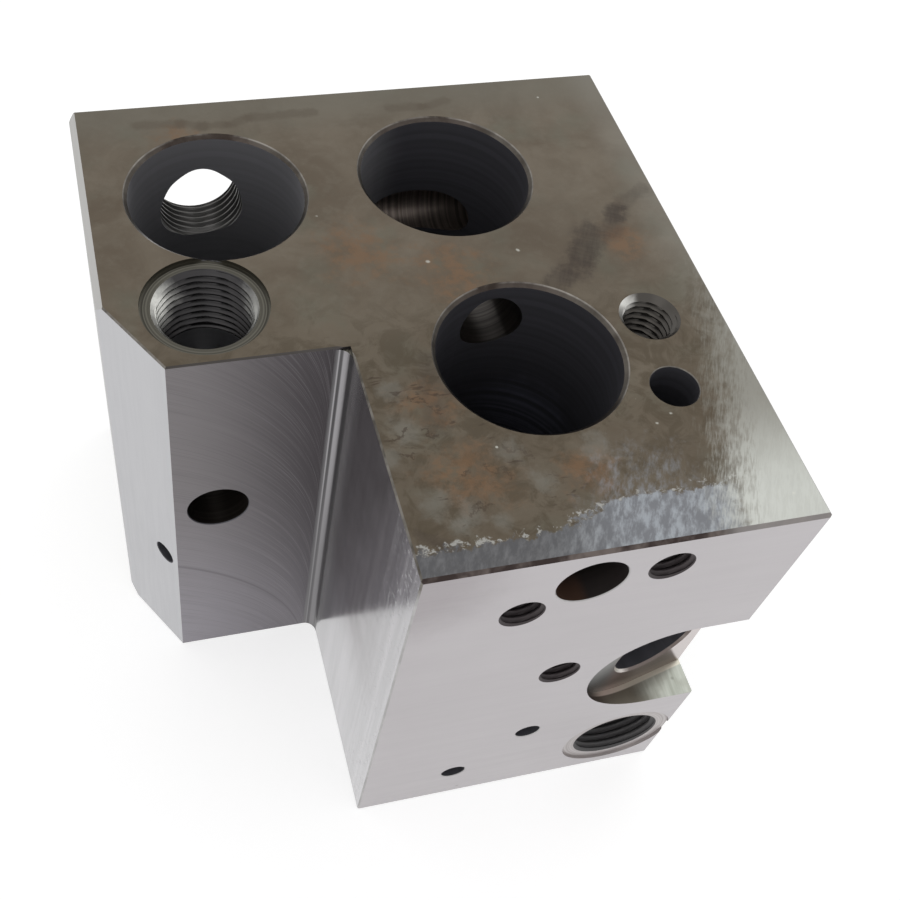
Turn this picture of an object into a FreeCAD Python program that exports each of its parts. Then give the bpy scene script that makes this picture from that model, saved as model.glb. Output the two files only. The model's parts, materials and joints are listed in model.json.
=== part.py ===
import FreeCAD, Part
import Sketcher
import math
import os

os.makedirs("parts", exist_ok=True)

# Hydraulic valve body: one steel block with a corner notch, three large cartridge bores, threaded
# ports, fixing threads and the galleries that join them.
# Frame: +X right, +Y to the rear, +Z up, origin at the middle of the bottom face. Millimetres.

V = FreeCAD.Vector
doc = FreeCAD.newDocument("valve_body")

# Driving sizes. Places are measured the way the block is machined: from the right face (right),
# from the front face (front) and from the top face (down).
SIZES = [
    ("block_wide", 106.5, "left to right"),
    ("block_deep", 110.0, "front to rear"),
    ("block_high", 98.5, "bottom to top"),
    ("notch_wide", 40.0, "front left notch, left to right"),
    ("notch_deep", 45.0, "front left notch, front to rear"),
    ("notch_corner", 2.5, "radius of the inner corner of the notch"),
    ("cut_wide", 9.5, "slanted cut of the left corner, left to right"),
    ("cut_long", 16.1, "slanted cut of the left corner, front to rear"),
    ("bevel_wide", 1.2, "bevels of the two long left edges, left to right"),
    ("top_bevel_high", 2.2, "upper left bevel, height"),
    ("base_bevel_high", 3.6, "lower left bevel, height"),
    ("edge_break", 0.3, "broken edges of the block"),
    ("front_edge_break", 0.6, "wider broken edge at the top of the front face"),
    ("bore_dia", 32.0, "three cartridge bores"),
    ("bore_chamfer", 0.75, "chamfer at their mouths"),
    ("bore_deep", 76.0, "full diameter of the bores below the top face"),
    ("drill_cone", 0.6, "length of a drilled point for each millimetre of its radius"),
    ("rear_bores_front", 84.0, "both rear bores, from the front face"),
    ("left_bore_right", 82.4, "rear left bore"),
    ("mid_bore_right", 39.0, "rear right bore"),
    ("front_bore_right", 37.0, "front bore"),
    ("front_bore_front", 38.6, "front bore"),
    ("port_core", 16.5, "core diameter of the three threaded ports"),
    ("port_mouth", 18.2, "chamfer diameter of the three threaded ports"),
    ("port_spot", 22.0, "spot face diameter of the ports in the top and rear faces"),
    ("port_spot_deep", 0.8, "depth of those spot faces"),
    ("top_port_right", 88.6, "threaded port in the top face"),
    ("top_port_front", 57.6, "threaded port in the top face"),
    ("low_port_right", 11.5, "threaded port low in the front face"),
    ("low_port_down", 84.1, "threaded port low in the front face"),
    ("low_port_deep", 30.0, "depth of its core hole"),
    ("low_port_spot", 23.3, "its spot face diameter"),
    ("low_port_spot_deep", 0.5, "depth of its spot face"),
    ("rear_port_right", 83.2, "threaded port in the rear face"),
    ("rear_port_down", 16.4, "threaded port in the rear face"),
    ("slot_high", 31.6, "open slot of the front right edge, height"),
    ("slot_deep", 7.3, "depth of its floor at the right face"),
    ("slot_end_deep", 4.65, "depth of its floor at the centre of the round end"),
    ("slot_right", 11.5, "centre of its round end, at the floor"),
    ("slot_down", 50.5, "centre line of the slot"),
    ("slot_port_dia", 17.0, "bore in the floor of the slot"),
    ("slot_port_chamfer", 0.5, "chamfer at its mouth"),
    ("slot_port_deep", 22.0, "depth of its core hole behind the floor"),
    ("gallery_dia", 11.8, "drilled galleries"),
    ("gallery_chamfer", 0.15, "broken edge at the mouths of galleries and plain holes"),
    ("front_gallery_right", 37.6, "gallery from the front face through the front bore"),
    ("front_gallery_down", 9.15, "gallery from the front face"),
    ("notch_gallery_down", 43.15, "gallery from the notch, under the top port to the rear left bore"),
    ("side_plug_core", 10.5, "core diameter of the cross drilling of the right face"),
    ("side_plug_mouth", 12.2, "its chamfer diameter"),
    ("side_plug_down", 23.6, "cross drilling of the right face"),
    ("side_plug_behind", 15.9, "cross drilling, behind the axes of the rear bores"),
    ("side_plug_reach", 48.0, "cross drilling, depth from the right face"),
    ("pilot_dia", 8.4, "pilot drilling of the top face"),
    ("pilot_right", 15.0, "pilot drilling"),
    ("pilot_front", 28.3, "pilot drilling"),
    ("stud_core", 8.5, "core diameter of the fixing thread of the top face"),
    ("stud_mouth", 10.9, "its chamfer diameter"),
    ("stud_deep", 24.0, "its depth"),
    ("stud_right", 13.3, "fixing thread of the top face"),
    ("stud_front", 43.8, "fixing thread of the top face"),
    ("screw_core", 6.65, "core diameter of the three flange threads of the front face"),
    ("screw_mouth", 7.8, "their chamfer diameter"),
    ("screw_deep", 17.0, "their depth"),
    ("screw_left_right", 47.6, "left flange thread"),
    ("screw_left_down", 16.3, "left flange thread"),
    ("screw_near_right", 24.5, "right flange thread"),
    ("screw_near_down", 8.2, "right flange thread"),
    ("screw_low_right", 34.5, "lower flange thread"),
    ("screw_low_down", 43.15, "lower flange thread"),
    ("pin_dia", 5.0, "small plain holes"),
    ("pin_deep", 13.0, "their depth"),
    ("pin_upper_right", 34.3, "upper small hole of the front face"),
    ("pin_upper_down", 70.8, "upper small hole of the front face"),
    ("pin_lower_right", 47.2, "lower small hole of the front face"),
    ("pin_lower_down", 86.4, "lower small hole of the front face"),
    ("cut_pin_edge", 4.2, "small hole of the slanted face, from its edge at the notch"),
    ("cut_pin_down", 62.9, "small hole of the slanted face"),
]

sheet = doc.addObject("Spreadsheet::Sheet", "Sizes")
for row, (alias, value, note) in enumerate(SIZES, 1):
    sheet.set("A%d" % row, alias)
    sheet.set("B%d" % row, str(value))
    sheet.setAlias("B%d" % row, alias)
    sheet.set("C%d" % row, note)
doc.recompute()
size = {alias: float(sheet.get("B%d" % row)) for row, (alias, value, note) in enumerate(SIZES, 1)}

# Places of the faces in the frame, as expressions of the sheet
RIGHT = "Sizes.block_wide / 2"
LEFT = "-Sizes.block_wide / 2"
FRONT = "-Sizes.block_deep / 2"
REAR = "Sizes.block_deep / 2"
TOP = "Sizes.block_high"


def from_right(alias):
    return "%s - Sizes.%s" % (RIGHT, alias)


def from_front(alias):
    return "%s + Sizes.%s" % (FRONT, alias)


def from_top(alias):
    return "%s - Sizes.%s" % (TOP, alias)


body = doc.addObject("PartDesign::Body", "ValveBody")
body.Label = "valve_body"
doc.recompute()


def new_sketch(name, role, offset, turn=0.0, about=V(0, 0, 1)):
    """Sketch on an origin plane, moved by three expressions along the plane's own axes."""
    sketch = body.newObject("Sketcher::SketchObject", name)
    plane = [item for item in body.Origin.OriginFeatures if item.Role == role][0]
    sketch.AttachmentSupport = [(plane, "")]
    sketch.MapMode = "FlatFace"
    sketch.AttachmentOffset = FreeCAD.Placement(V(0, 0, 0), FreeCAD.Rotation(about, turn))
    for axis, expression in zip("xyz", offset):
        if expression != "0":
            sketch.setExpression("AttachmentOffset.Base." + axis, expression)
    return sketch


def value_of(expression):
    """Value of a sheet expression, used only to draw a sketch near its final place."""
    names = {"Sizes." + alias: "(%r)" % number for alias, number in size.items()}
    text = expression
    for alias in sorted(names, key=len, reverse=True):
        text = text.replace(alias, names[alias])
    return FreeCAD.Units.Quantity(text.replace(" ", "")).Value


def hold(sketch, kind, geometry, point, expression, label):
    """Dimension from the sketch origin to a point, bound to an expression."""
    if expression == "0":
        return
    number = value_of(expression)
    if number >= 0:
        ends = (-1, 1, geometry, point)
        bound = expression
    else:
        ends = (geometry, point, -1, 1)
        bound = "-(%s)" % expression
    index = sketch.addConstraint(Sketcher.Constraint(kind, *ends, abs(number)))
    sketch.renameConstraint(index, label)
    sketch.setExpression("Constraints." + label, bound)


def draw_outline(sketch, corners):
    """Closed outline of straight lines. Corners are pairs of expressions, in order."""
    count = len(corners)
    spots = [V(value_of(across), value_of(along), 0) for across, along in corners]
    for i in range(count):
        sketch.addGeometry(Part.LineSegment(spots[i], spots[(i + 1) % count]), False)
    for i in range(count):
        sketch.addConstraint(Sketcher.Constraint("Coincident", i, 2, (i + 1) % count, 1))
    for i in range(count):
        across, along = corners[i]
        before_across, before_along = corners[i - 1]
        if i > 0 and across == before_across:
            sketch.addConstraint(Sketcher.Constraint("Vertical", i - 1))
        elif across == "0":
            sketch.addConstraint(Sketcher.Constraint("PointOnObject", i, 1, -2))
        else:
            hold(sketch, "DistanceX", i, 1, across, "across%d" % i)
        if i > 0 and along == before_along:
            sketch.addConstraint(Sketcher.Constraint("Horizontal", i - 1))
        elif along == "0":
            sketch.addConstraint(Sketcher.Constraint("PointOnObject", i, 1, -1))
        else:
            hold(sketch, "DistanceY", i, 1, along, "along%d" % i)


def draw_circles(sketch, circles):
    """Circles given as centre expressions and one diameter expression each."""
    for i, (across, along, dia) in enumerate(circles):
        centre = V(value_of(across), value_of(along), 0)
        sketch.addGeometry(Part.Circle(centre, V(0, 0, 1), value_of(dia) / 2), False)
        hold(sketch, "DistanceX", i, 3, across, "across%d" % i)
        hold(sketch, "DistanceY", i, 3, along, "along%d" % i)
        index = sketch.addConstraint(Sketcher.Constraint("Diameter", i, value_of(dia)))
        sketch.renameConstraint(index, "dia%d" % i)
        sketch.setExpression("Constraints.dia%d" % i, dia)


def cut_bore(name, role, offset, turn, section):
    """Groove of a stepped bore. The section gives depth and radius expressions from the mouth
    inwards, along the first axis of the sketch, and is closed on the axis."""
    sketch = new_sketch(name + "Section", role, offset, turn)
    draw_outline(sketch, [("0", "0")] + section)
    groove = body.newObject("PartDesign::Groove", name)
    groove.Profile = sketch
    groove.ReferenceAxis = (sketch, ["H_Axis"])
    groove.Angle = 360
    sketch.Visibility = False
    doc.recompute()
    return groove


def drilled(steps, depth, radius):
    """Steps from the mouth, then the straight wall and the drilled point."""
    point = "%s + %s * Sizes.drill_cone" % (depth, radius)
    return steps + [(depth, radius), (point, "0")]


def port_mouth(spot, spot_deep, mouth, core):
    """Spot face and thread chamfer of a port, from its face inwards."""
    chamfer_end = "%s + (%s - %s) / 2" % (spot_deep, mouth, core)
    return [
        ("0", spot + " / 2"),
        (spot_deep, spot + " / 2"),
        (spot_deep, mouth + " / 2"),
        (chamfer_end, core + " / 2"),
    ]


def plain_mouth(mouth, core):
    """Chamfer at the mouth of a hole without a spot face."""
    return [("0", mouth + " / 2"), ("(%s - %s) / 2" % (mouth, core), core + " / 2")]


# Block: plan outline with the corner notch and the slanted cut of the left corner
plan = new_sketch("BlockPlan", "XY_Plane", ("0", "0", "0"))
right = size["block_wide"] / 2
rear = size["block_deep"] / 2
notch_x = -right + size["notch_wide"]
notch_y = -rear + size["notch_deep"]
corner = size["notch_corner"]
cut_x = -right + size["cut_wide"]
cut_y = notch_y + size["cut_long"]
plan_spots = [
    (V(right, -rear, 0), V(right, rear, 0)),
    (V(right, rear, 0), V(-right, rear, 0)),
    (V(-right, rear, 0), V(-right, cut_y, 0)),
    (V(-right, cut_y, 0), V(cut_x, notch_y, 0)),
    (V(cut_x, notch_y, 0), V(notch_x - corner, notch_y, 0)),
    (V(notch_x, notch_y - corner, 0), V(notch_x, -rear, 0)),
    (V(notch_x, -rear, 0), V(right, -rear, 0)),
]
for start, end in plan_spots:
    plan.addGeometry(Part.LineSegment(start, end), False)
corner_circle = Part.Circle(V(notch_x - corner, notch_y - corner, 0), V(0, 0, 1), corner)
plan.addGeometry(Part.ArcOfCircle(corner_circle, 0, math.pi / 2), False)
for first, second in ((0, 1), (1, 2), (2, 3), (3, 4), (5, 6), (6, 0)):
    plan.addConstraint(Sketcher.Constraint("Coincident", first, 2, second, 1))
plan.addConstraint(Sketcher.Constraint("Tangent", 4, 2, 7, 2))
plan.addConstraint(Sketcher.Constraint("Tangent", 7, 1, 5, 1))
for line in (0, 2, 5):
    plan.addConstraint(Sketcher.Constraint("Vertical", line))
for line in (1, 4, 6):
    plan.addConstraint(Sketcher.Constraint("Horizontal", line))
plan.addConstraint(Sketcher.Constraint("Symmetric", 0, 1, 1, 2, -1, 1))


def tie_plan(kind, first, first_point, second, second_point, alias):
    """Dimension of the plan outline between two of its points, bound to a size of the sheet."""
    ends = (first, first_point, second, second_point)
    number = plan.addConstraint(Sketcher.Constraint(kind, *ends, size[alias]))
    plan.renameConstraint(number, alias)
    plan.setExpression("Constraints." + alias, "Sizes." + alias)


tie_plan("DistanceX", 1, 2, 0, 2, "block_wide")
tie_plan("DistanceY", 0, 1, 0, 2, "block_deep")
tie_plan("DistanceX", 1, 2, 5, 2, "notch_wide")
tie_plan("DistanceY", 6, 1, 4, 1, "notch_deep")
tie_plan("DistanceX", 2, 2, 3, 2, "cut_wide")
tie_plan("DistanceY", 3, 2, 2, 2, "cut_long")
index = plan.addConstraint(Sketcher.Constraint("Radius", 7, corner))
plan.renameConstraint(index, "notch_corner")
plan.setExpression("Constraints.notch_corner", "Sizes.notch_corner")
block = body.newObject("PartDesign::Pad", "Block")
block.Profile = plan
block.setExpression("Length", TOP)
plan.Visibility = False
doc.recompute()

# Bevels along the two long left edges
bevels = []
for name, level, inward, high in (
    ("TopBevel", TOP, "-", "Sizes.top_bevel_high"),
    ("BaseBevel", "0", "+", "Sizes.base_bevel_high"),
):
    profile = new_sketch(name + "Profile", "XZ_Plane", (LEFT, level, "0"))
    far = high if inward == "+" else "-" + high
    draw_outline(profile, [("0", "0"), ("Sizes.bevel_wide", "0"), ("0", far)])
    bevel = body.newObject("PartDesign::Pocket", name)
    bevel.Profile = profile
    bevel.Type = "ThroughAll"
    bevel.Midplane = True
    profile.Visibility = False
    doc.recompute()
    bevels.append(bevel)


# Broken edges: the rim of the top face and of the bottom, and the upright corners
def edge_names(shape, wanted):
    """Names of the straight or round edges whose middle and ends satisfy the test."""
    names = []
    for number, edge in enumerate(shape.Edges, 1):
        low = edge.FirstParameter
        high = edge.LastParameter
        points = [edge.valueAt(low + (high - low) * share) for share in (0.0, 0.5, 1.0)]
        if wanted(points):
            names.append("Edge%d" % number)
    return names


NEAR = 1e-4
high = size["block_high"]
left_rim = -right + size["bevel_wide"]


def on_front_rim(points):
    return all(abs(p.z - high) < NEAR and abs(p.y + rear) < NEAR for p in points)


def on_other_rim(points):
    flat = all(abs(p.z - high) < NEAR for p in points) or all(abs(p.z) < NEAR for p in points)
    on_bevel = all(p.x < left_rim + NEAR for p in points)
    front_top = all(p.z > high / 2 and abs(p.y + rear) < size["front_edge_break"] + NEAR for p in points)
    return flat and not on_bevel and not front_top


def on_upright_corner(points):
    upright = abs(points[0].z - points[2].z) > high / 2
    spots = [(right, -rear), (right, rear), (-right, rear), (notch_x, -rear)]
    return upright and any(
        all(abs(p.x - x) < NEAR and abs(p.y - y) < NEAR for p in points) for x, y in spots
    )


def break_edges(name, base, wanted, alias):
    """Small chamfer on the edges of the solid so far that the test picks."""
    chamfer = body.newObject("PartDesign::Chamfer", name)
    chamfer.Base = (base, edge_names(base.Shape, wanted))
    chamfer.setExpression("Size", "Sizes." + alias)
    doc.recompute()
    return chamfer


upright_breaks = break_edges("UprightBreaks", bevels[-1], on_upright_corner, "edge_break")
front_break = break_edges(
    "FrontBreak",
    upright_breaks,
    lambda points: all(abs(p.z - high) < NEAR and abs(p.y + rear) < NEAR for p in points),
    "front_edge_break",
)
rim_breaks = break_edges("RimBreaks", front_break, on_other_rim, "edge_break")

# Slot with a round end, open to the right, its floor turned to lie deeper at the right face
slot_turn = math.degrees(math.atan2(size["slot_deep"] - size["slot_end_deep"], size["slot_right"]))
slot_plan = new_sketch(
    "SlotPlan",
    "XZ_Plane",
    (from_right("slot_right"), from_top("slot_down"), REAR + " - Sizes.slot_end_deep"),
    slot_turn,
    V(0, 1, 0),
)
slot_radius = size["slot_high"] / 2
slot_out = 2 * size["slot_right"]
slot_corners = [
    V(0, -slot_radius, 0),
    V(slot_out, -slot_radius, 0),
    V(slot_out, slot_radius, 0),
    V(0, slot_radius, 0),
]
for start, end in zip(slot_corners, slot_corners[1:]):
    slot_plan.addGeometry(Part.LineSegment(start, end), False)
slot_circle = Part.Circle(V(0, 0, 0), V(0, 0, 1), slot_radius)
slot_plan.addGeometry(Part.ArcOfCircle(slot_circle, math.pi / 2, 3 * math.pi / 2), False)
slot_plan.addConstraint(Sketcher.Constraint("Coincident", 0, 2, 1, 1))
slot_plan.addConstraint(Sketcher.Constraint("Coincident", 1, 2, 2, 1))
slot_plan.addConstraint(Sketcher.Constraint("Tangent", 2, 2, 3, 1))
slot_plan.addConstraint(Sketcher.Constraint("Tangent", 3, 2, 0, 1))
slot_plan.addConstraint(Sketcher.Constraint("Coincident", 3, 3, -1, 1))
slot_plan.addConstraint(Sketcher.Constraint("Horizontal", 0))
slot_plan.addConstraint(Sketcher.Constraint("Horizontal", 2))
slot_plan.addConstraint(Sketcher.Constraint("Vertical", 1))
hold(slot_plan, "DistanceX", 0, 2, "2 * Sizes.slot_right", "open_end")
index = slot_plan.addConstraint(Sketcher.Constraint("Radius", 3, slot_radius))
slot_plan.renameConstraint(index, "round_end")
slot_plan.setExpression("Constraints.round_end", "Sizes.slot_high / 2")
slot = body.newObject("PartDesign::Pocket", "Slot")
slot.Profile = slot_plan
slot.Reversed = True
slot.setExpression("Length", "2 * Sizes.slot_deep")
slot_plan.Visibility = False
doc.recompute()


# Holes that share a size are drilled from one sketch of circles
def drill_holes(name, role, offset, circles, depth, mouth=None):
    sketch = new_sketch(name + "Centres", role, offset)
    draw_circles(sketch, circles)
    hole = body.newObject("PartDesign::Hole", name)
    hole.Profile = sketch
    doc.recompute()
    hole.ThreadType = "None"
    hole.DepthType = "Dimension"
    hole.DrillPoint = "Angled"
    hole.setExpression("Diameter", circles[0][2])
    hole.setExpression("Depth", depth)
    hole.setExpression("DrillPointAngle", "2 * atan(1 / Sizes.drill_cone)")
    hole.DrillForDepth = False
    if mouth:
        hole.HoleCutType = "Countersink"
        hole.HoleCutCountersinkAngle = 90
        hole.setExpression("HoleCutDiameter", mouth)
    sketch.Visibility = False
    doc.recompute()
    return hole


TOP_PLANE = ("XY_Plane", ("0", "0", TOP))
FRONT_PLANE = ("XZ_Plane", ("0", "0", REAR))

bores = drill_holes(
    "CartridgeBores",
    *TOP_PLANE,
    [
        (from_right("left_bore_right"), from_front("rear_bores_front"), "Sizes.bore_dia"),
        (from_right("mid_bore_right"), from_front("rear_bores_front"), "Sizes.bore_dia"),
        (from_right("front_bore_right"), from_front("front_bore_front"), "Sizes.bore_dia"),
    ],
    "Sizes.bore_deep",
    "Sizes.bore_dia + 2 * Sizes.bore_chamfer",
)
stud = drill_holes(
    "StudThread",
    *TOP_PLANE,
    [(from_right("stud_right"), from_front("stud_front"), "Sizes.stud_core")],
    "Sizes.stud_deep",
    "Sizes.stud_mouth",
)
screws = drill_holes(
    "FlangeThreads",
    *FRONT_PLANE,
    [
        (from_right("screw_left_right"), from_top("screw_left_down"), "Sizes.screw_core"),
        (from_right("screw_near_right"), from_top("screw_near_down"), "Sizes.screw_core"),
        (from_right("screw_low_right"), from_top("screw_low_down"), "Sizes.screw_core"),
    ],
    "Sizes.screw_deep",
    "Sizes.screw_mouth",
)
pins = drill_holes(
    "PinHoles",
    *FRONT_PLANE,
    [
        (from_right("pin_upper_right"), from_top("pin_upper_down"), "Sizes.pin_dia"),
        (from_right("pin_lower_right"), from_top("pin_lower_down"), "Sizes.pin_dia"),
    ],
    "Sizes.pin_deep",
    "Sizes.pin_dia + 2 * Sizes.gallery_chamfer",
)

# Stepped bores, each turned from its own section. The offsets of a section follow its plane: for
# the XZ plane across, up and towards the front, for the YZ plane rearwards, up and to the right.
MAIN_MOUTH = port_mouth("Sizes.port_spot", "Sizes.port_spot_deep", "Sizes.port_mouth", "Sizes.port_core")
LOW_MOUTH = port_mouth("Sizes.low_port_spot", "Sizes.low_port_spot_deep", "Sizes.port_mouth", "Sizes.port_core")
PORT_RADIUS = "Sizes.port_core / 2"
GALLERY_RADIUS = "Sizes.gallery_dia / 2"
GALLERY_MOUTH = plain_mouth("(Sizes.gallery_dia + 2 * Sizes.gallery_chamfer)", "Sizes.gallery_dia")

top_port = cut_bore(
    "TopPort",
    "XZ_Plane",
    (from_right("top_port_right"), TOP, "-(%s)" % from_front("top_port_front")),
    -90,
    drilled(MAIN_MOUTH, "Sizes.notch_gallery_down", PORT_RADIUS),
)
low_port = cut_bore(
    "LowPort",
    "YZ_Plane",
    (FRONT, from_top("low_port_down"), from_right("low_port_right")),
    0,
    drilled(LOW_MOUTH, "Sizes.low_port_deep", PORT_RADIUS),
)
rear_port = cut_bore(
    "RearPort",
    "YZ_Plane",
    (REAR, from_top("rear_port_down"), from_right("rear_port_right")),
    180,
    drilled(MAIN_MOUTH, "Sizes.block_deep - Sizes.rear_bores_front - Sizes.port_core / 2", PORT_RADIUS),
)
slot_port = cut_bore(
    "SlotPort",
    "XY_Plane",
    (from_right("slot_right"), FRONT + " + Sizes.slot_end_deep", from_top("slot_down")),
    90 + slot_turn,
    drilled(
        plain_mouth("(Sizes.slot_port_dia + 2 * Sizes.slot_port_chamfer)", "Sizes.slot_port_dia"),
        "Sizes.slot_port_deep",
        "Sizes.slot_port_dia / 2",
    ),
)
front_gallery = cut_bore(
    "FrontGallery",
    "YZ_Plane",
    (FRONT, from_top("front_gallery_down"), from_right("front_gallery_right")),
    0,
    drilled(GALLERY_MOUTH, "Sizes.rear_bores_front", GALLERY_RADIUS),
)
notch_gallery = cut_bore(
    "NotchGallery",
    "YZ_Plane",
    (from_front("notch_deep"), from_top("notch_gallery_down"), from_right("top_port_right")),
    0,
    drilled(GALLERY_MOUTH, "Sizes.rear_bores_front - Sizes.notch_deep", GALLERY_RADIUS),
)
side_plug = cut_bore(
    "SidePlug",
    "XZ_Plane",
    (RIGHT, from_top("side_plug_down"), "-(%s + Sizes.side_plug_behind)" % from_front("rear_bores_front")),
    180,
    drilled(
        plain_mouth("Sizes.side_plug_mouth", "Sizes.side_plug_core"),
        "Sizes.side_plug_reach",
        "Sizes.side_plug_core / 2",
    ),
)
pilot = cut_bore(
    "PilotDrilling",
    "XZ_Plane",
    (from_right("pilot_right"), TOP, "-(%s)" % from_front("pilot_front")),
    -90,
    drilled(
        plain_mouth("(Sizes.pilot_dia + 2 * Sizes.gallery_chamfer)", "Sizes.pilot_dia"),
        "Sizes.slot_down",
        "Sizes.pilot_dia / 2",
    ),
)

# Small hole square to the slanted face of the left corner
cut_slope = math.degrees(math.atan2(size["cut_wide"], size["cut_long"]))
CUT_LENGTH = "sqrt(Sizes.cut_wide ^ 2 + Sizes.cut_long ^ 2)"
cut_pin = cut_bore(
    "CutPinHole",
    "XY_Plane",
    (
        "%s + Sizes.cut_wide * (1 - Sizes.cut_pin_edge / %s)" % (LEFT, CUT_LENGTH),
        "%s + Sizes.cut_long * Sizes.cut_pin_edge / %s" % (from_front("notch_deep"), CUT_LENGTH),
        from_top("cut_pin_down"),
    ),
    cut_slope,
    drilled(
        plain_mouth("(Sizes.pin_dia + 2 * Sizes.gallery_chamfer)", "Sizes.pin_dia"),
        "Sizes.pin_deep",
        "Sizes.pin_dia / 2",
    ),
)
body.Tip = cut_pin
doc.recompute()

# Every cut has to take material away from the solid before it
volume = block.Shape.Volume
for feature in (
    bevels
    + [upright_breaks, front_break, rim_breaks, slot, bores, stud, screws, pins]
    + [top_port, low_port, rear_port, slot_port, front_gallery, notch_gallery, side_plug, pilot, cut_pin]
):
    left_over = feature.Shape.Volume
    if not left_over < volume - 1e-3:
        raise RuntimeError("%s removes nothing" % feature.Name)
    volume = left_over

for item in doc.Objects:
    if "Invalid" in item.State or "Error" in item.State:
        raise RuntimeError("%s failed: %s" % (item.Name, item.State))
shape = body.Shape
if shape.isNull() or not shape.isValid() or len(shape.Solids) != 1:
    raise RuntimeError("valve_body is not one valid solid")
shape.exportStep("parts/%s.step" % body.Label)
box = shape.BoundBox
print("%s volume %.0f mm3, box %.2f x %.2f x %.2f" % (body.Label, shape.Volume, box.XLength, box.YLength, box.ZLength))
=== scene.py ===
import json
import math

import bmesh
import bpy
import numpy as np
from mathutils import Matrix, Vector


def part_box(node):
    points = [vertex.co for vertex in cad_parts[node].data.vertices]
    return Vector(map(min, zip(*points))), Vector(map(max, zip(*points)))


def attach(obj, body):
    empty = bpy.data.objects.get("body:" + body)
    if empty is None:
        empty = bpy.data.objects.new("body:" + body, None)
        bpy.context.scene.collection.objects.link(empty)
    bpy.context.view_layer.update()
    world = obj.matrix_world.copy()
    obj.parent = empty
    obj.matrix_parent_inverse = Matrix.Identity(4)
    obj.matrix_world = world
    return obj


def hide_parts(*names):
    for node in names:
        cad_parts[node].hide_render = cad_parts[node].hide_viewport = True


# Looks of a hydraulic valve body: one steel block with a notched corner, cartridge bores,
# threaded ports and galleries. The block's solid is kept, its threads are cut into a copy of it,
# and each machined face gets its own finish.

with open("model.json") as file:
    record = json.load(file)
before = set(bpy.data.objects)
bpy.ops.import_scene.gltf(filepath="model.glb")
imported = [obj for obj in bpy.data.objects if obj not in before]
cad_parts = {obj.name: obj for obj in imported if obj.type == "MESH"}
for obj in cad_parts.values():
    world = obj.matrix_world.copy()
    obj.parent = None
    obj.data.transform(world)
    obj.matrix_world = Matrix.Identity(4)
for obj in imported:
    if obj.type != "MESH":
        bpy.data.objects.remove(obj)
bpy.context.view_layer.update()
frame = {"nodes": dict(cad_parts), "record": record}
MM = 0.001
MICRON = 0.000001

# Outer faces of the block, and the faces that are measured from them
BLOCK_LOW, BLOCK_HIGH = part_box("valve_body")
LEFT, FRONT, BASE = BLOCK_LOW
RIGHT, REAR, TOP = BLOCK_HIGH
NOTCH_SIDE_X = LEFT + 40 * MM
NOTCH_WALL_Y = FRONT + 45 * MM
NOTCH_ROUND = 2.5 * MM
SLOT_RIGHT, SLOT_DOWN = 11.5 * MM, 50.5 * MM
SLOT_DEEP, SLOT_END_DEEP = 7.3 * MM, 4.65 * MM
SLOT_TURN = math.atan2(SLOT_DEEP - SLOT_END_DEEP, SLOT_RIGHT)
SLOT_OUT = Vector((math.sin(SLOT_TURN), -math.cos(SLOT_TURN), 0))
SLOT_ALONG = Vector((math.cos(SLOT_TURN), math.sin(SLOT_TURN), 0))
SLOT_END = Vector((RIGHT - SLOT_RIGHT, FRONT + SLOT_END_DEEP, TOP - SLOT_DOWN))
SLANT_OUT = Vector((-0.861242, -0.508187, 0))
SLANT_EDGE = Vector((LEFT + 9.5 * MM, NOTCH_WALL_Y, 0))
HOLES = {mount["name"]: mount for mount in frame["record"]["mounts"] if mount["dims"].get("r_mm")}

# Threads: outer diameter, pitch, threaded length and where the thread starts below the face
THREADS = {
    "top_port": (18.0, 1.5, 14.6, 0.5),
    "low_port": (18.0, 1.5, 17.0, 0.2),
    "rear_port": (18.0, 1.5, 11.5, 0.5),
    "stud_thread": (10.0, 1.5, 19.5, -0.3),
    "side_plug": (12.0, 1.5, 14.0, -0.3),
    "flange_thread_left": (7.75, 1.25, 14.0, -0.3),
    "flange_thread_right": (7.75, 1.25, 14.0, -0.3),
    "flange_thread_low": (7.75, 1.25, 14.0, -0.3),
}

# Shares of half a turn that the thread's flat and its flank take up, and the cutter's play in mm
ROOT_SHARE, FLANK_SHARE = 0.22, 0.66
CORE_PLAY = 0.02


# Node helpers
def node(tree, kind, inputs=None, **settings):
    """Adds a node. Inputs are values or sockets, by name or by number."""
    made = tree.nodes.new(kind)
    for name, value in settings.items():
        setattr(made, name, value)
    for key, value in (inputs or {}).items():
        socket = made.inputs[key]
        if isinstance(value, bpy.types.NodeSocket):
            tree.links.new(value, socket)
        else:
            socket.default_value = value
    return made


def calc(tree, operation, *values, clamp=False):
    """Math node, read through its one output."""
    made = node(tree, "ShaderNodeMath", dict(enumerate(values)), operation=operation, use_clamp=clamp)
    return made.outputs[0]


def times(tree, first, second, clamp=False):
    return calc(tree, "MULTIPLY", first, second, clamp=clamp)


def plus(tree, first, second, clamp=False):
    return calc(tree, "ADD", first, second, clamp=clamp)


def minus(tree, first, second):
    return calc(tree, "SUBTRACT", first, second)


def axes(tree, position):
    """The X, Y and Z outputs of a position."""
    return node(tree, "ShaderNodeSeparateXYZ", {0: position}).outputs


def vector(tree, operation, *values, scale=None):
    """Vector math node, read as a value where it measures and as a vector elsewhere."""
    inputs = dict(enumerate(values))
    if scale is not None:
        inputs["Scale"] = scale
    read = "Value" if operation in ("DOT_PRODUCT", "LENGTH") else "Vector"
    return node(tree, "ShaderNodeVectorMath", inputs, operation=operation).outputs[read]


def combined(tree, **parts):
    """Vector with the given X, Y and Z, each 0 where it isn't named."""
    return node(tree, "ShaderNodeCombineXYZ", parts).outputs[0]


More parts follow.
